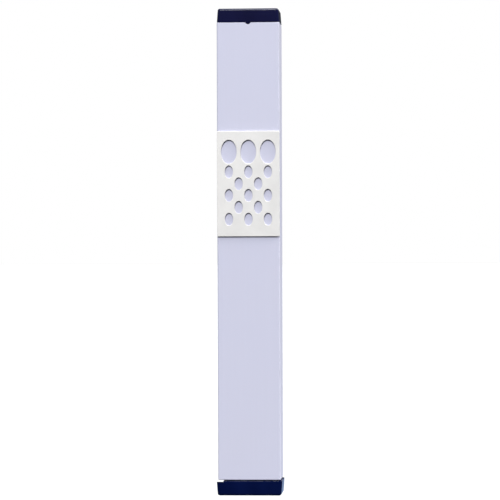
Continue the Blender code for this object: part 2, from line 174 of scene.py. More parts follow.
# Scroll.
SCROLL_RADIUS = 0.00525
PARCHMENT_THICKNESS = 0.0003
PARCHMENT_PITCH = 0.0006
PARCHMENT_TURNS = 3.75
PARCHMENT_STEPS = 72
PARCHMENT_LEVELS = 26
PARCHMENT_SLACK = 0.00005
PARCHMENT_WAVES = ((0.00003, 3.1, 5), (0.00002, 7.3, -9))  # size, waves per turn, turn along the roll
PARCHMENT_END_WAVE = (0.00012, 1.7, 2)  # size, waves per turn and shift between the ends
PARCHMENT_END_GAP = 0.00015
SLEEVE_WALL = 0.00014
SLEEVE_SLACK = 0.00006
SLEEVE_STEPS = 96
SLEEVE_LEVELS = 40
SLEEVE_WAVES = ((0.000025, 2, 7), (0.000015, 5, -13))

ARC_STEPS = 8
BORE_STEPS = 64
KEY_STEPS = 48
RIB_STEPS = 24
LARGE_HOLE_STEPS = 96
SMALL_HOLE_STEPS = 64
FLAT_ANGLE = math.radians(0.5)
SHARP = 0.00002  # radius of an edge that counts as sharp
AXIS_RADIUS = 0.000001  # radius of a ring that counts as a point
CUT_PAST = 0.001  # how far a cutter reaches past what it cuts
CUT_FACE_RISE = 0.3  # upward part of the normal above which a face of the channel is a cut one


def srgb(*values):
    """Linear colour of three 0 to 255 display values, with alpha."""
    shares = [value / 255 for value in values]
    return [((s + 0.055) / 1.055) ** 2.4 if s > 0.04 else s / 12.92 for s in shares] + [1.0]


def toned(colour, share):
    """Darker tone of a colour."""
    return [channel * share for channel in colour[:3]] + [1]


# Outlines ---------------------------------------------------------------------------------------


def unit(x, y):
    """Direction of (x, y), with a length of 1."""
    length = math.hypot(x, y)
    return x / length, y / length


def rounded(corners, steps=ARC_STEPS):
    """Outline through (x, y, radius) corners, each turned by an arc of that radius."""
    points = []
    for i, (x, y, radius) in enumerate(corners):
        before = corners[i - 1]
        after = corners[(i + 1) % len(corners)]
        to_before = unit(before[0] - x, before[1] - y)
        to_after = unit(after[0] - x, after[1] - y)
        half = math.acos(to_before[0] * to_after[0] + to_before[1] * to_after[1]) / 2
        middle = unit(to_before[0] + to_after[0], to_before[1] + to_after[1])
        reach = radius / math.sin(half)
        centre = (x + middle[0] * reach, y + middle[1] * reach)
        run = radius / math.tan(half)
        start = math.atan2(y + to_before[1] * run - centre[1], x + to_before[0] * run - centre[0])
        end = math.atan2(y + to_after[1] * run - centre[1], x + to_after[0] * run - centre[0])
        turn = (end - start + math.pi) % (2 * math.pi) - math.pi
        for step in range(steps + 1):
            angle = start + turn * step / steps
            points.append((centre[0] + radius * math.cos(angle), centre[1] + radius * math.sin(angle)))
    return points


def rectangle(x0, x1, y0, y1, radius, steps=ARC_STEPS):
    corners = [(x0, y0, radius), (x1, y0, radius), (x1, y1, radius), (x0, y1, radius)]
    return rounded(corners, steps)


def ring(box, radius, z):
    """Rounded rectangle of (x0, x1, y0, y1) at a height."""
    return [(x, y, z) for x, y in rectangle(*box, radius)]


def shrunk(box, inset):
    """(x0, x1, y0, y1) moved inwards on all sides."""
    x0, x1, y0, y1 = box
    return x0 + inset, x1 - inset, y0 + inset, y1 - inset


def quarter(radius, steps):
    """(inset, rise) points of a convex quarter round, from its start on the side to its top."""
    angles = [math.pi / 2 * step / steps for step in range(steps + 1)]
    return [(radius * (1 - math.cos(a)), radius * math.sin(a)) for a in angles]


def oval(x, y, half_width, half_height, steps):
    angles = [2 * math.pi * step / steps for step in range(steps)]
    return [(x + half_width * math.cos(a), y + half_height * math.sin(a)) for a in angles]


def circle(radius, z, steps):
    """Level ring of (x, y, z) points about the Z axis."""
    return [(x, y, z) for x, y in oval(0, 0, radius, radius, steps)]


def ripple(waves, angle, share):
    """Unevenness of a rolled wall at an angle and a share of its length."""
    return sum(size * math.sin(around * angle + along * share) for size, around, along in waves)


# Meshes -----------------------------------------------------------------------------------------


def add_object(name, data):
    obj = bpy.data.objects.new(name, data)
    bpy.context.scene.collection.objects.link(obj)
    return obj


def mesh_from(name, shape, smallest=1e-7):
    """Object of a bmesh, whose faces are turned outwards."""
    bmesh.ops.remove_doubles(shape, verts=shape.verts, dist=smallest)
    bmesh.ops.recalc_face_normals(shape, faces=shape.faces)
    mesh = bpy.data.meshes.new(name)
    shape.to_mesh(mesh)
    shape.free()
    return add_object(name, mesh)


def plate_of(name, outlines, thickness, edge, edge_steps):
    """Flat filled outline with its holes. The rims of both faces are rounded within the outline."""
    curve = bpy.data.curves.new(name, "CURVE")
    curve.dimensions = "2D"
    curve.fill_mode = "BOTH"
    curve.extrude = thickness / 2 - edge
    curve.bevel_depth = edge
    curve.bevel_resolution = edge_steps
    curve.offset = -edge
    for outline in outlines:
        spline = curve.splines.new("POLY")
        spline.points.add(len(outline) - 1)
        spline.use_cyclic_u = True
        for point, (x, y) in zip(spline.points, outline):
            point.co = (x, y, 0, 1)
    drawn = add_object(name + "_outline", curve)
    graph = bpy.context.evaluated_depsgraph_get()
    mesh = bpy.data.meshes.new_from_object(drawn.evaluated_get(graph))
    bpy.data.objects.remove(drawn)
    shape = bmesh.new()
    shape.from_mesh(mesh)
    bpy.data.meshes.remove(mesh)
    return mesh_from(name, shape, smallest=1e-6)


def loft(name, rings, closed_ends=True):
    """Surface through rings of equally many (x, y, z) points."""
    shape = bmesh.new()
    rows = [[shape.verts.new(point) for point in ring] for ring in rings]
    for low, high in zip(rows, rows[1:]):
        for i in range(len(low)):
            shape.faces.new((low[i - 1], low[i], high[i], high[i - 1]))
    if closed_ends:
        shape.faces.new(rows[0])
        shape.faces.new(rows[-1])
    return mesh_from(name, shape)


def turned(name, profile, steps):
    """Solid about local Z through (radius, height) points; those on the axis close it."""
    return loft(name, [circle(max(radius, AXIS_RADIUS), height, steps) for radius, height in profile])


def face_front(obj, place):
    """Turns local Z to the front, -Y, and local Y up."""
    obj.rotation_euler.x = math.radians(90)
    obj.location = place
    return obj


def settle(obj):
    """Applies the object's modifiers and place to its mesh."""
    bpy.context.view_layer.update()
    graph = bpy.context.evaluated_depsgraph_get()
    mesh = bpy.data.meshes.new_from_object(obj.evaluated_get(graph), depsgraph=graph)
    mesh.transform(obj.matrix_world)
    obj.modifiers.clear()
    obj.data = mesh
    obj.matrix_world.identity()
    obj.location = (0, 0, 0)
    obj.rotation_euler = (0, 0, 0)
    return obj


def combine(target, other, operation):
    """Boolean with a helper object, which is used up."""
    boolean = target.modifiers.new("boolean", "BOOLEAN")
    boolean.operation = operation
    boolean.object = other
    bpy.context.view_layer.update()
    settle(target)
    bpy.data.objects.remove(other)


def flat_areas(shape):
    """Area of the flat region that each face belongs to."""
    areas = {}
    for start in shape.faces:
        if start in areas:
            continue
        region = {start}
        waiting = [start]
        while waiting:
            face = waiting.pop()
            for edge in face.edges:
                for other in edge.link_faces:
                    if other not in region and other.normal.angle(start.normal, math.pi) < FLAT_ANGLE:
                        region.add(other)
                        waiting.append(other)
        area = sum(face.calc_area() for face in region)
        areas.update((face, area) for face in region)
    return areas


def corner_normals(vertex, areas):
    """Normal at a vertex for each face there: the mean of its smoothly joined faces, by region area."""
    normals = {}
    for start in vertex.link_faces:
        if start in normals:
            continue
        joined = {start}
        waiting = [start]
        while waiting:
            face = waiting.pop()
            for edge in face.edges:
                if vertex in edge.verts and edge.smooth:
                    waiting += [other for other in edge.link_faces if other not in joined]
                    joined.update(edge.link_faces)
        normal = sum((face.normal * areas[face] for face in joined), Vector()).normalized()
        normals.update((face, normal) for face in joined)
    return normals


def shade(obj, angle=32):
    """Smooth shading with sharp edges, and flat faces kept flat beside their rounded rims."""
    mesh = obj.data
    mesh.shade_smooth()
    mesh.set_sharp_from_angle(angle=math.radians(angle))
    shape = bmesh.new()
    shape.from_mesh(mesh)
    shape.normal_update()
    areas = flat_areas(shape)
    normals = {vertex: corner_normals(vertex, areas) for vertex in shape.verts}
    split = [normals[loop.vert][face] for face in shape.faces for loop in face.loops]
    shape.free()
    mesh.normals_split_custom_set(split)


# Materials --------------------------------------------------------------------------------------


def new_material(name, colour, roughness, metallic=0.0):
    material = bpy.data.materials.new(name)
    material.use_nodes = True
    shader = material.node_tree.nodes["Principled BSDF"]
    shader.inputs["Base Color"].default_value = colour
    shader.inputs["Roughness"].default_value = roughness
    shader.inputs["Metallic"].default_value = metallic
    material.diffuse_color = colour
    return material, shader


def add_node(tree, kind, **values):
    node = tree.nodes.new(kind)
    for key, value in values.items():
        setattr(node, key, value)
    return node


def position(tree, scale):
    """The object's own coordinates, stretched by a scale on each axis."""
    coordinates = add_node(tree, "ShaderNodeTexCoord")
    mapping = add_node(tree, "ShaderNodeMapping")
    mapping.inputs["Scale"].default_value = scale
    tree.links.new(coordinates.outputs["Object"], mapping.inputs["Vector"])
    return mapping.outputs["Vector"]


def noise(tree, scale, detail=3.0, stretch=(1, 1, 1), roughness=0.5):
    """Noise from 0 to 1, with scale in cycles per metre."""
    texture = add_node(tree, "ShaderNodeTexNoise")
    texture.inputs["Scale"].default_value = scale
    texture.inputs["Detail"].default_value = detail
    texture.inputs["Roughness"].default_value = roughness
    tree.links.new(position(tree, stretch), texture.inputs["Vector"])
    return texture.outputs["Fac"]


def ranged(tree, value, low, high, new_low, new_high):
    """Linear change of range, clamped at both ends."""
    node = add_node(tree, "ShaderNodeMapRange")
    for name, number in (("From Min", low), ("From Max", high), ("To Min", new_low), ("To Max", new_high)):
        node.inputs[name].default_value = number
    tree.links.new(value, node.inputs["Value"])
    return node.outputs["Result"]


def mixed(tree, factor, first, second):
    """Colour mix of two colours or sockets."""
    node = add_node(tree, "ShaderNodeMix", data_type="RGBA")
    tree.links.new(factor, node.inputs["Factor"])
    for socket, colour in (("A", first), ("B", second)):
        target = next(s for s in node.inputs if s.name == socket and s.type == "RGBA")
        if isinstance(colour, bpy.types.NodeSocket):
            tree.links.new(colour, target)
        else:
            target.default_value = colour
    return next(s for s in node.outputs if s.type == "RGBA")


def math_node(tree, operation, first, second):
    """Sum or product of sockets or numbers."""
    node = add_node(tree, "ShaderNodeMath", operation=operation)
    for socket, value in zip(node.inputs, (first, second)):
        if isinstance(value, bpy.types.NodeSocket):
            tree.links.new(value, socket)
        else:
            socket.default_value = value
    return node.outputs["Value"]


def bump(tree, shader, height, distance):
    """Relief of a height of 0 to 1 times a distance in metres, over any relief that is there."""
    node = add_node(tree, "ShaderNodeBump")
    node.inputs["Distance"].default_value = distance
    node.inputs["Strength"].default_value = 1.0
    tree.links.new(height, node.inputs["Height"])
    previous = shader.inputs["Normal"].links
    if previous:
        tree.links.new(previous[0].from_socket, node.inputs["Normal"])
    tree.links.new(node.outputs["Normal"], shader.inputs["Normal"])


def anodised(name, colour):
    """Satin anodised extrusion: fine grain, faint die lines along its length and soft mottling."""
    material, shader = new_material(name, colour, 0.42, 0.12)
    shader.inputs["Specular IOR Level"].default_value = 0.2
    tree = material.node_tree
    grain = noise(tree, 9000, detail=2)
    lines = noise(tree, 1500, detail=4, stretch=(1, 1, 0.012), roughness=0.65)
    mottle = noise(tree, 60, detail=3)
    tone = mixed(tree, ranged(tree, lines, 0.35, 0.65, 0, 1), toned(colour, 0.985), colour)
    cloudy = [channel * share for channel, share in zip(colour, (0.985, 0.99, 1, 1))]
    tone = mixed(tree, ranged(tree, mottle, 0.35, 0.7, 0, 1), tone, cloudy)
    tree.links.new(tone, shader.inputs["Base Color"])
    tree.links.new(ranged(tree, grain, 0.3, 0.7, 0.38, 0.48), shader.inputs["Roughness"])
    bump(tree, shader, lines, 0.000004)
    bump(tree, shader, grain, 0.000003)
    return material


def cut_metal(name):
    """Bright saw cut and chamfer of the extrusion's ends."""
    material, shader = new_material(name, srgb(248, 248, 252), 0.3, 0.3)
    tree = material.node_tree
    marks = noise(tree, 4000, detail=2, stretch=(0.05, 1, 1))
    tree.links.new(ranged(tree, marks, 0.3, 0.7, 0.25, 0.38), shader.inputs["Roughness"])
    bump(tree, shader, marks, 0.000004)
    return material


def blasted(name):
    """Bead blasted aluminium, silver white."""
    colour = srgb(224, 222, 220)
    material, shader = new_material(name, colour, 0.5, 0.3)
    tree = material.node_tree
    beads = add_node(tree, "ShaderNodeTexVoronoi", feature="SMOOTH_F1")
    beads.inputs["Scale"].default_value = 7000
    tree.links.new(position(tree, (1, 1, 1)), beads.inputs["Vector"])
    mottle = noise(tree, 220, detail=4)
    tone = mixed(tree, ranged(tree, mottle, 0.35, 0.65, 0, 1), toned(colour, 0.975), colour)
    tree.links.new(tone, shader.inputs["Base Color"])
    tree.links.new(ranged(tree, mottle, 0.3, 0.7, 0.46, 0.56), shader.inputs["Roughness"])
    bump(tree, shader, beads.outputs["Distance"], 0.000008)
    return material


def moulded(name, colour):
    """Satin moulded plastic: spark eroded texture and faint flow marks."""
    material, shader = new_material(name, colour, 0.15)
    shader.inputs["Specular IOR Level"].default_value = 0.2
    tree = material.node_tree
    texture = noise(tree, 6500, detail=3, roughness=0.6)
    flow = noise(tree, 180, detail=3, stretch=(1, 1, 0.4))
    lighter = [channel * 1.35 + 0.0008 for channel in colour[:3]] + [1]
    tone = mixed(tree, ranged(tree, flow, 0.35, 0.7, 0, 1), colour, lighter)
    tree.links.new(tone, shader.inputs["Base Color"])
    tree.links.new(ranged(tree, texture, 0.3, 0.7, 0.12, 0.18), shader.inputs["Roughness"])
    bump(tree, shader, texture, 0.000004)
    return material


def drawn_metal(name):
    """Mill finish aluminium, with lines along its length."""
    material, shader = new_material(name, srgb(206, 208, 211), 0.3, 1.0)
    tree = material.node_tree
    lines = noise(tree, 2500, detail=4, stretch=(1, 1, 0.008), roughness=0.7)
    stains = noise(tree, 150, detail=4)
    tone = mixed(tree, ranged(tree, stains, 0.4, 0.75, 0, 1), srgb(208, 210, 213), srgb(188, 189, 191))
    tree.links.new(tone, shader.inputs["Base Color"])
    tree.links.new(ranged(tree, lines, 0.3, 0.7, 0.24, 0.4), shader.inputs["Roughness"])
    bump(tree, shader, lines, 0.000006)
    return material


def zinc(name):
    """Bright zinc plate with a faint yellow and blue haze."""
    material, shader = new_material(name, srgb(208, 207, 200), 0.24, 1.0)
    tree = material.node_tree
    haze = noise(tree, 700, detail=2)
    tone = mixed(tree, ranged(tree, haze, 0.35, 0.65, 0, 1), srgb(214, 208, 190), srgb(196, 202, 208))
    tree.links.new(tone, shader.inputs["Base Color"])
    tree.links.new(ranged(tree, noise(tree, 5000), 0.3, 0.7, 0.18, 0.32), shader.inputs["Roughness"])
    return material


def parchment_skin(name):
    """Blank calf parchment: cream, with darker clouds and fibres."""
    light, dark = srgb(238, 226, 198), srgb(214, 192, 150)
    material, shader = new_material(name, light, 0.75)
    shader.inputs["Subsurface Weight"].default_value = 0.08
    shader.inputs["Subsurface Scale"].default_value = 0.0004
    tree = material.node_tree
    clouds = noise(tree, 90, detail=5)
    fibres = noise(tree, 2200, detail=5, stretch=(1, 1, 0.15), roughness=0.65)
    tone = mixed(tree, ranged(tree, clouds, 0.35, 0.7, 0, 1), light, dark)
    tone = mixed(tree, ranged(tree, fibres, 0.55, 0.8, 0, 0.5), tone, srgb(196, 170, 126))
    tree.links.new(tone, shader.inputs["Base Color"])
    bump(tree, shader, fibres, 0.00004)
    return material


def clear_film(name):
    """Clear film, which shows what it wraps."""
    material, shader = new_material(name, srgb(244, 247, 250), 0.08)
    shader.inputs["Alpha"].default_value = 0.22
    tree = material.node_tree
    creases = noise(tree, 260, detail=3, stretch=(1, 1, 0.3))
    tree.links.new(ranged(tree, creases, 0.3, 0.7, 0.05, 0.16), shader.inputs["Roughness"])
    bump(tree, shader, creases, 0.00006)
    return material


def adhesive(name):
    """Milky adhesive with soft patches."""
    material, shader = new_material(name, srgb(226, 223, 212), 0.55)
    tree = material.node_tree
    patches = noise(tree, 900, detail=3)
    tone = mixed(tree, ranged(tree, patches, 0.35, 0.65, 0, 1), srgb(230, 227, 216), srgb(214, 210, 196))
    tree.links.new(tone, shader.inputs["Base Color"])
    bump(tree, shader, patches, 0.00001)
    return material


def pale_floor(name):
    """Matt floor that comes out white under the lights."""
    material, shader = new_material(name, (0.42, 0.42, 0.42, 1), 0.8)
    tree = material.node_tree
    tone = mixed(tree, noise(tree, 30, detail=4), (0.417, 0.417, 0.417, 1), (0.423, 0.423, 0.423, 1))
    tree.links.new(tone, shader.inputs["Base Color"])
    return material


def give(obj, *materials):
    """Sets an object's materials, without losing the slot numbers of its faces."""
    obj.data.materials.clear()
    for material in materials:
        obj.data.materials.append(material)


# Stage ------------------------------------------------------------------------------------------


def add_camera(low, high):
    """Level camera on the front face, whose field at that face is FIELD_HEIGHT tall."""
    front = low.y
    middle = Vector(((low.x + high.x) / 2, front / 2, (low.z + high.z) / 2))
    data = bpy.data.cameras.new("camera")
    camera = add_object("camera", data)
    way = Vector((math.sin(CAMERA_AZIMUTH), -math.cos(CAMERA_AZIMUTH), 0))
    right, up = CAMERA_OFFSET
    camera.location = middle + way * CAMERA_DISTANCE + Vector((right, 0, up))
    turn = (-way).to_track_quat("-Z", "Y").to_euler()
    turn.rotate_axis("Z", CAMERA_ROLL)
    camera.rotation_euler = turn
    data.sensor_width = SENSOR
    data.lens = SENSOR * (CAMERA_DISTANCE + front / 2) / FIELD_HEIGHT
    data.clip_start = 0.01
    data.clip_end = 50
    bpy.context.scene.camera = camera
    return camera


def add_far_light(name, azimuth, elevation, strength, spread):
    """Even light from far away, with angles and spread in degrees."""
    data = bpy.data.lights.new(name, "SUN")
    data.energy = strength
    data.angle = math.radians(spread)
    light = add_object(name, data)
    azimuth, elevation = math.radians(azimuth), math.radians(elevation)
    level = math.cos(elevation)
    way = Vector((math.sin(azimuth) * level, -math.cos(azimuth) * level, math.sin(elevation)))
    light.rotation_euler = (-way).to_track_quat("-Z", "Y").to_euler()
    return light


def add_world():
    """White to the eye. The light on the object comes from above and, off the floor, from behind."""
    world = bpy.data.worlds.new("studio")
    bpy.context.scene.world = world
    world.use_nodes = True
    tree = world.node_tree
    tree.nodes.clear()
    seen = add_node(tree, "ShaderNodeBackground")
    seen.inputs["Color"].default_value = (1, 1, 1, 1)
    seen.inputs["Strength"].default_value = 1.0
    light = add_node(tree, "ShaderNodeBackground")
    direction = add_node(tree, "ShaderNodeTexCoord")
    way = add_node(tree, "ShaderNodeSeparateXYZ")
    tree.links.new(direction.outputs["Generated"], way.inputs["Vector"])
    sky = ranged(tree, way.outputs["Z"], *SKY_RISE, WORLD_BASE, WORLD_BASE + WORLD_SKY)
    below = ranged(tree, way.outputs["Z"], *GLOW_FALL, 0, 1)
    behind = math_node(tree, "MULTIPLY", below, ranged(tree, way.outputs["Y"], *GLOW_TURN, 0, 1))
    glow = math_node(tree, "MULTIPLY", behind, WORLD_GLOW)
    tree.links.new(mixed(tree, behind, SKY_COLOUR, GLOW_COLOUR), light.inputs["Color"])
    tree.links.new(math_node(tree, "ADD", sky, glow), light.inputs["Strength"])
    path = add_node(tree, "ShaderNodeLightPath")
    mix = add_node(tree, "ShaderNodeMixShader")
    out = add_node(tree, "ShaderNodeOutputWorld")
    tree.links.new(path.outputs["Is Camera Ray"], mix.inputs["Fac"])
    tree.links.new(light.outputs["Background"], mix.inputs[1])
    tree.links.new(seen.outputs["Background"], mix.inputs[2])
    tree.links.new(mix.outputs["Shader"], out.inputs["Surface"])


def add_floor(level):
    """Large level floor, which neither lights the object nor shows in its gloss."""
    shape = bmesh.new()
    bmesh.ops.create_grid(shape, x_segments=1, y_segments=1, size=FLOOR_SIZE / 2)
    floor = mesh_from("floor", shape)
    floor.location.z = level
    give(floor, pale_floor("pale_floor"))
    floor.visible_diffuse = False
    floor.visible_glossy = False


def set_stage(low, high):
    add_camera(low, high)
    add_world()
    add_floor(low.z - FLOOR_DROP)
    add_far_light("key", *KEY_LIGHT)
    add_far_light("top", *TOP_LIGHT).visible_glossy = False
    add_far_light("side", *SIDE_LIGHT).data.color = SIDE_COLOUR
    view = bpy.context.scene.view_settings
    view.view_transform = "Standard"
    view.look = "None"


# Pieces -----------------------------------------------------------------------------------------

BOXES = {name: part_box(name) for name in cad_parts}


def dovetail_half_width(y, gap=0.0):
    """Half width of the back strip at a place y before the doorpost, with a gap square to its flank."""
    return STRIP_HALF_WIDTH - y * DOVETAIL_SLOPE + gap * math.hypot(1, DOVETAIL_SLOPE)


def dovetail(front, back, gap=0.0):
    """Outline of the back strip's section between two places y, with a gap around its flanks."""
    wide, narrow = dovetail_half_width(front, gap), dovetail_half_width(back, gap)
    corners = [(-wide, front), (wide, front), (narrow, back), (-narrow, back)]
    return rounded([(x, y, STRIP_EDGE_RADIUS) for x, y in corners])


def channel_section(low, high, inset):
    """Outline of the channel's section, moved into its walls by inset."""
    gap = SLIDING_GAP + inset
    outer, front, back = high.x - inset, low.y + inset, high.y - inset
    inner, inner_front, lip_front = high.x - WALL + inset, low.y + WALL - inset, high.y - WALL + inset
    corner = max(CORNER_RADIUS - inset, SHARP)
    lip = max(LIP_RADIUS - inset, SHARP)
    right = [
        (outer, front, corner),
        (outer, back, corner),
        (dovetail_half_width(back, gap), back, lip),
        (dovetail_half_width(lip_front, gap), lip_front, lip),
        (inner, lip_front, INNER_RADIUS + inset),
        (inner, inner_front, INNER_RADIUS + inset),
    ]
    return rounded(right + [(-x, y, radius) for x, y, radius in reversed(right)])


def add_channel():
    """Extruded body with chamfered ends and the key's notch, whose cut faces are bright."""
    low, high = BOXES["case_channel"]
    levels = [
        (low.z, END_CHAMFER),
        (low.z + END_CHAMFER, 0),
        (high.z - END_CHAMFER, 0),
        (high.z, END_CHAMFER),
    ]
    rings = [[(x, y, z) for x, y in channel_section(low, high, inset)] for z, inset in levels]
    channel = loft("channel", rings)
    radius = KEY_NOTCH_RADIUS
    profile = [
        (0, CUT_PAST),
        (radius + CUT_PAST, CUT_PAST),
        (radius + END_CHAMFER, 0),
        (radius, -END_CHAMFER),
        (radius, -WALL - CUT_PAST),
        (0, -WALL - CUT_PAST),
    ]
    notch = face_front(turned("notch", profile, BORE_STEPS), (0, low.y, high.z + radius - KEY_NOTCH_DEPTH))
    combine(channel, notch, "DIFFERENCE")
    for face in channel.data.polygons:
        face.material_index = 1 if abs(face.normal.z) > CUT_FACE_RISE else 0
    shade(channel)
    give(channel, anodised("lavender_anodised", srgb(200, 200, 218)), cut_metal("cut_aluminium"))
    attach(channel, "case")
    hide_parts("case_channel")


def add_plate():
    """Perforated plate: three large ovals over a staggered field of small ones."""
    low, high = BOXES["perforated_plate"]
    middle = (low + high) / 2
    half_width, half_height = (high.x - low.x) / 2, (high.z - low.z) / 2
    outlines = [rectangle(-half_width, half_width, -half_height, half_height, PLATE_CORNER_RADIUS)]
    for column in (-1, 0, 1):
        place = (column * HOLE_PITCH, half_height - LARGE_ROW_DROP)
        outlines.append(oval(*place, *LARGE_HOLE, LARGE_HOLE_STEPS))
    for row, drop in enumerate(SMALL_ROW_DROPS):
        for column in (-0.5, 0.5) if row % 2 else (-1, 0, 1):
            place = (column * HOLE_PITCH, half_height - drop)
            outlines.append(oval(*place, *SMALL_HOLE, SMALL_HOLE_STEPS))
    plate = plate_of("plate", outlines, high.y - low.y, PLATE_EDGE, 2)
    face_front(plate, middle)
    settle(plate)
    shade(plate)
    give(plate, blasted("blasted_aluminium"))
    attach(plate, "case")
    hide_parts("perforated_plate")


def cap_shell(name, seat, far, side, overhang, edge_radius, channel):
    """Flange, plug and pocket of a cap as one surface, from the pocket's roof out to the far face."""
    low, high = channel
    flange = (low.x - overhang, high.x + overhang, low.y - overhang, high.y)
    inner = high.x - WALL - PLUG_GAP
    plug = (-inner, inner, low.y + WALL + PLUG_GAP, PLUG_BACK)
    pocket = shrunk(plug, PLUG_WALL)
    corner = edge_radius + CORNER_MARGIN
    plug_end = seat - side * PLUG_LENGTH
    roof = far - side * FLANGE_ROOF
    rings = []
    for inset, rise in reversed(quarter(ROOF_RADIUS, 4)):
        box = shrunk(pocket, POCKET_DRAFT + inset)
        rings.append(ring(box, PLUG_CORNER_RADIUS / 2, roof - side * (ROOF_RADIUS - rise)))
    for inset, rise in quarter(MOUTH_RADIUS, 2):
        box = shrunk(pocket, -inset)
        rings.append(ring(box, PLUG_CORNER_RADIUS / 2 + inset, plug_end + side * (MOUTH_RADIUS - rise)))
    for inset, rise in reversed(quarter(TIP_RADIUS, 3)):
        box = shrunk(plug, LEAD_IN + inset)
        rings.append(ring(box, PLUG_CORNER_RADIUS - LEAD_IN, plug_end + side * (TIP_RADIUS - rise)))
    rings.append(ring(plug, PLUG_CORNER_RADIUS, plug_end + side * LEAD_IN_LENGTH))
    for inset, rise in quarter(FILLET_RADIUS, 3):
        box = shrunk(plug, -inset)
        rings.append(ring(box, PLUG_CORNER_RADIUS + inset, seat - side * (FILLET_RADIUS - rise)))
    for inset, rise in reversed(quarter(FINE_EDGE, 2)):
        rings.append(ring(shrunk(flange, inset), corner - inset, seat + side * (FINE_EDGE - rise)))
    for inset, rise in quarter(edge_radius, 7):
        level = far - side * (edge_radius - rise)
        draft = FLANGE_DRAFT * (level - seat) / (far - seat)
        rings.append(ring(shrunk(flange, draft + inset), corner - inset, level))
    return loft(name, rings)


def add_ribs(cap, seat, side, channel):
    """Tapered crush ribs on the front and the sides of a plug."""
    low, high = channel
    inner = high.x - WALL - PLUG_GAP
    front = low.y + WALL + PLUG_GAP
    inward = RIB_RADIUS - RIB_PROUD
    top = seat + side * RIB_ROOT
    end = seat - side * (PLUG_LENGTH - RIB_SETBACK)
    length = abs(top - end)
    spots = []
    for mirror in (-1, 1):
        for share in (RIB_SIDE_SHARE, 1 - RIB_SIDE_SHARE):
            spots.append((mirror * (inner - inward), front * (1 - share) + PLUG_BACK * share))
        spots.append((mirror * inner * RIB_FRONT_SHARE, front + inward))
    for x, y in spots:
        profile = [
            (0, length),
            (RIB_RADIUS, length),
            (RIB_RADIUS, RIB_TAPER),
            (RIB_RADIUS - RIB_PROUD, 0),
            (0, 0),
        ]
        rib = turned("rib", profile, RIB_STEPS)
        rib.location = (x, y, end)
        if side < 0:
            rib.rotation_euler.x = math.radians(180)
        combine(cap, rib, "UNION")


def finish_cap(cap, body, node, colour):
    """Shading, plastic and place in the assembly, the same for both caps."""
    shade(cap)
    give(cap, moulded(node + "_plastic", colour))
    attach(cap, body)
    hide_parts(node)


def add_top_cap():
    """Cap flush with the body, with a key that fits the notch in the front wall."""
    channel = BOXES["case_channel"]
    far = BOXES["top_cap"][1].z
    seat = channel[1].z + SEAT_GAP
    cap = cap_shell("upper_end_cap", seat, far, 1, 0, TOP_EDGE_RADIUS, channel)
    add_ribs(cap, seat, 1, channel)
    front = channel[0].y + KEY_GAP
    length = WALL + 2 * PLUG_GAP - KEY_GAP
    radius = KEY_NOTCH_RADIUS - KEY_GAP
    profile = [(0, 0), (radius - FINE_EDGE, 0), (radius, -FINE_EDGE), (radius, -length), (0, -length)]
    key = turned("key", profile, KEY_STEPS)
    face_front(key, (0, front, channel[1].z + KEY_NOTCH_RADIUS - KEY_NOTCH_DEPTH))
    combine(cap, key, "UNION")
    # The top cap's navy differs a little from the bottom cap's: painted light, standing in for the
    # different light on the two caps, which are the same plastic.
    finish_cap(cap, "upper_cap", "top_cap", srgb(8, 9, 44))


def add_bottom_cap():
    """Cap a little wider than the body, open behind for the strip, with a pry slot on the left."""
    channel = BOXES["case_channel"]
    low, high = channel
    far = BOXES["bottom_cap"][0].z
    seat = low.z - BOTTOM_SEAT_GAP
    cap = cap_shell("lower_end_cap", seat, far, -1, FLANGE_OVERHANG, BOTTOM_EDGE_RADIUS, channel)
    add_ribs(cap, seat, -1, channel)
    notch = plate_of("notch", [dovetail(PLUG_BACK, CUT_PAST, SLIDING_GAP)], 2 * PLUG_LENGTH, 0, 0)
    notch.location.z = far
    combine(cap, notch, "DIFFERENCE")
    left, front = low.x - FLANGE_OVERHANG, low.y - FLANGE_OVERHANG
    slope = (PRY_SLOT_BACK - PRY_SLOT_FRONT) / (high.y - front)
    mouth = [
        (front - CUT_PAST, seat + PRY_SLOT_RISE),
        (high.y + CUT_PAST, seat + PRY_SLOT_RISE),
        (high.y + CUT_PAST, seat - PRY_SLOT_BACK - slope * CUT_PAST),
        (front - CUT_PAST, seat - PRY_SLOT_FRONT + slope * CUT_PAST),
    ]
    slot = loft("slot", [[(x, y, z) for y, z in mouth] for x in (left - CUT_PAST, left + PRY_SLOT_WIDTH)])
    combine(cap, slot, "DIFFERENCE")
    # The bottom cap's navy differs a little from the top cap's: painted light, standing in for the
    # different light on the two caps, which are the same plastic.
    finish_cap(cap, "lower_cap", "bottom_cap", srgb(2, 11, 50))


def add_strip():
    """Dovetailed strip with countersunk holes, drawn along its length."""
    low, high = BOXES["back_strip"]
    strip = plate_of("wall_rail", [dovetail(low.y, 0)], high.z - low.z, STRIP_END_RADIUS, 1)
    strip.location.z = (low.z + high.z) / 2
    settle(strip)
    depth = high.y - low.y
    for node in ("upper_screw", "lower_screw"):
        centre = (BOXES[node][0] + BOXES[node][1]) / 2
        profile = [
            (0, CUT_PAST),
            (SINK_RADIUS + CUT_PAST, CUT_PAST),
            (SINK_RADIUS, 0),
            (HOLE_RADIUS, HOLE_RADIUS - SINK_RADIUS),
            (HOLE_RADIUS, -depth - CUT_PAST),
            (0, -depth - CUT_PAST),
        ]
        hole = face_front(turned("hole", profile, BORE_STEPS), (centre.x, low.y, centre.z))
        combine(strip, hole, "DIFFERENCE")
    shade(strip)
    give(strip, drawn_metal("mill_aluminium"))
    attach(strip, "wall_strip")
    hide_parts("back_strip")


def thread_rise(share):
    """Height of the thread, 0 to 1, over one pitch: sharp crests with a wide root between them."""
    return max(0.0, 1 - abs(share - 0.5) / THREAD_CREST_SHARE)


def tapered(share, least, power):
    """Share of a radius that is left where a share of the tip's length is left."""
    return max(least, share**power)


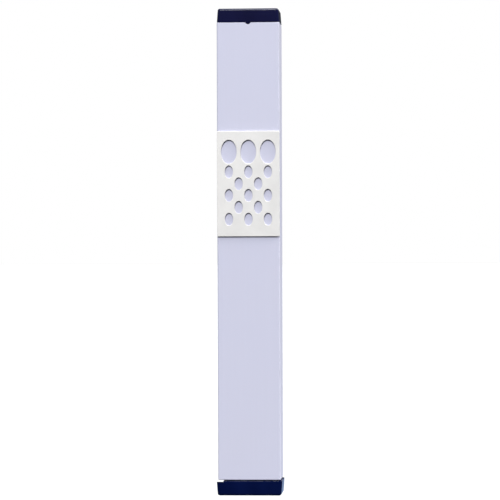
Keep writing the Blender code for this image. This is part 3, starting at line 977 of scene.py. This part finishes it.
def thread_ring(depth, length):
    """Ring of the shank at a depth below the head, where the thread winds and tapers to the tip."""
    left = min(1.0, (length - depth) / SCREW_TIP_LENGTH)
    start = min(1.0, (depth - SCREW_NECK) / THREAD_PITCH)
    core = SCREW_RADIUS * SCREW_NECK_SHARE * (1 - start) + SCREW_CORE * start
    core *= tapered(left, *CORE_TAPER)
    crest = SCREW_RADIUS * tapered(left, *CREST_TAPER) if start > 0 else core
    points = []
    for step in range(SCREW_STEPS):
        turn = step / SCREW_STEPS
        rise = thread_rise((depth / THREAD_PITCH - turn) % 1) * start
        radius = core + max(0.0, crest - core) * rise
        angle = 2 * math.pi * turn
        points.append((radius * math.cos(angle), radius * math.sin(angle), -depth))
    return points


def add_screw(name, node, material):
    """Countersunk wood screw: threaded shank, plain neck and a cross recess."""
    low, high = BOXES[node]
    centre = (low + high) / 2
    length = high.y - low.y
    head = (high.x - low.x) / 2
    neck = SCREW_RADIUS * SCREW_NECK_SHARE
    neck_start = HEAD_RIM + head - SCREW_RADIUS
    flare = SCREW_RADIUS * NECK_FLARE_SHARE
    profile = [(head - inset, rise - HEAD_EDGE) for inset, rise in reversed(quarter(HEAD_EDGE, 2))]
    profile += [
        (head, -HEAD_RIM),
        (SCREW_RADIUS + flare, flare - neck_start),
        (neck, -neck_start - NECK_BLEND),
        (neck, -SCREW_NECK),
    ]
    rings = [circle(radius, height, SCREW_STEPS) for radius, height in profile]
    depth = SCREW_NECK
    while depth < length:
        rings.append(thread_ring(depth, length))
        depth += THREAD_PITCH / THREAD_RINGS
    rings.append(circle(SCREW_POINT_RADIUS, -length, SCREW_STEPS))
    screw = loft(name, rings)
    half, width = CROSS_LENGTH / 2, CROSS_WIDTH / 2
    for x, z in ((half, width), (width, half)):
        mouth = [(-x, -z, CUT_PAST), (x, -z, CUT_PAST), (x, z, CUT_PAST), (-x, z, CUT_PAST)]
        floor = [(px * CROSS_TAPER, pz * CROSS_TAPER, -CROSS_DEPTH) for px, pz, _ in mouth]
        combine(screw, loft("recess", [mouth, floor]), "DIFFERENCE")
    face_front(screw, (centre.x, low.y, centre.z))
    settle(screw)
    shade(screw, angle=40)
    give(screw, material)
    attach(screw, "wall_strip")
    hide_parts(node)


def parchment_point(step, share, side):
    """Point of the sheet's outer (side 1) or inner (side -1) face, at a share of the roll's length."""
    low, high = BOXES["parchment_scroll"]
    sleeve_low, sleeve_high = BOXES["scroll_sleeve"]
    centre = (sleeve_low + sleeve_high) / 2
    angle = 2 * math.pi * step / PARCHMENT_STEPS
    radius = SCROLL_RADIUS - PARCHMENT_SLACK - (1 - side) * PARCHMENT_THICKNESS / 2
    radius += ripple(PARCHMENT_WAVES, angle, share) - PARCHMENT_PITCH * step / PARCHMENT_STEPS
    size, around, shift = PARCHMENT_END_WAVE
    end = size * math.sin(around * angle + (0 if share < 0.5 else shift)) * abs(2 * share - 1) ** 8
    z = low.z + PARCHMENT_END_GAP + (high.z - low.z - 2 * PARCHMENT_END_GAP) * share + end
    return centre.x + radius * math.cos(angle), centre.y + radius * math.sin(angle), z


def add_parchment():
    """Sheet rolled from the outside in, a little loose and uneven, with softly wavy ends."""
    steps = round(PARCHMENT_TURNS * PARCHMENT_STEPS)
    levels = PARCHMENT_LEVELS
    shape = bmesh.new()
    sides = []
    for side in (1, -1):
        grid = []
        for level in range(levels + 1):
            points = [parchment_point(step, level / levels, side) for step in range(steps + 1)]
            grid.append([shape.verts.new(point) for point in points])
        sides.append(grid)
    for grid in sides:
        for lower, upper in zip(grid, grid[1:]):
            for i in range(steps):
                shape.faces.new((lower[i], lower[i + 1], upper[i + 1], upper[i]))
    outer, inner = sides
    for i in range(steps):
        shape.faces.new((outer[0][i], inner[0][i], inner[0][i + 1], outer[0][i + 1]))
        shape.faces.new((outer[-1][i], outer[-1][i + 1], inner[-1][i + 1], inner[-1][i]))
    for level in range(levels):
        for end in (0, -1):
            edge = (outer[level][end], outer[level + 1][end], inner[level + 1][end], inner[level][end])
            shape.faces.new(edge)
    parchment = mesh_from("rolled_parchment", shape)
    shade(parchment, angle=50)
    give(parchment, parchment_skin("parchment"))
    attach(parchment, "scroll")
    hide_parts("parchment_scroll")


def film_ring(radius, share):
    """Ring of the sleeve's wall at a share of its length."""
    low, high = BOXES["scroll_sleeve"]
    centre = (low + high) / 2
    z = low.z + (high.z - low.z) * share
    points = []
    for step in range(SLEEVE_STEPS):
        angle = 2 * math.pi * step / SLEEVE_STEPS
        reach = radius + ripple(SLEEVE_WAVES, angle, share)
        points.append((centre.x + reach * math.cos(angle), centre.y + reach * math.sin(angle), z))
    return points


def add_sleeve():
    """Film tube with softly uneven walls."""
    low, high = BOXES["scroll_sleeve"]
    outer = (high.x - low.x) / 2 - SLEEVE_SLACK
    shares = [level / SLEEVE_LEVELS for level in range(SLEEVE_LEVELS + 1)]
    rings = [film_ring(outer, share) for share in shares]
    rings += [film_ring(outer - SLEEVE_WALL, share) for share in reversed(shares)]
    rings.append(rings[0])
    sleeve = loft("film_sleeve", rings, closed_ends=False)
    shade(sleeve, angle=50)
    give(sleeve, clear_film("clear_film"))
    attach(sleeve, "scroll")
    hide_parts("scroll_sleeve")


# Assembly ---------------------------------------------------------------------------------------

set_stage(*CAD_BOUNDS)
add_channel()
add_plate()
add_top_cap()
add_bottom_cap()
add_strip()
ZINC = zinc("zinc_plate")
add_screw("upper_wood_screw", "upper_screw", ZINC)
add_screw("lower_wood_screw", "lower_screw", ZINC)
add_parchment()
add_sleeve()
give(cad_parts["plate_adhesive"], adhesive("adhesive_film"))
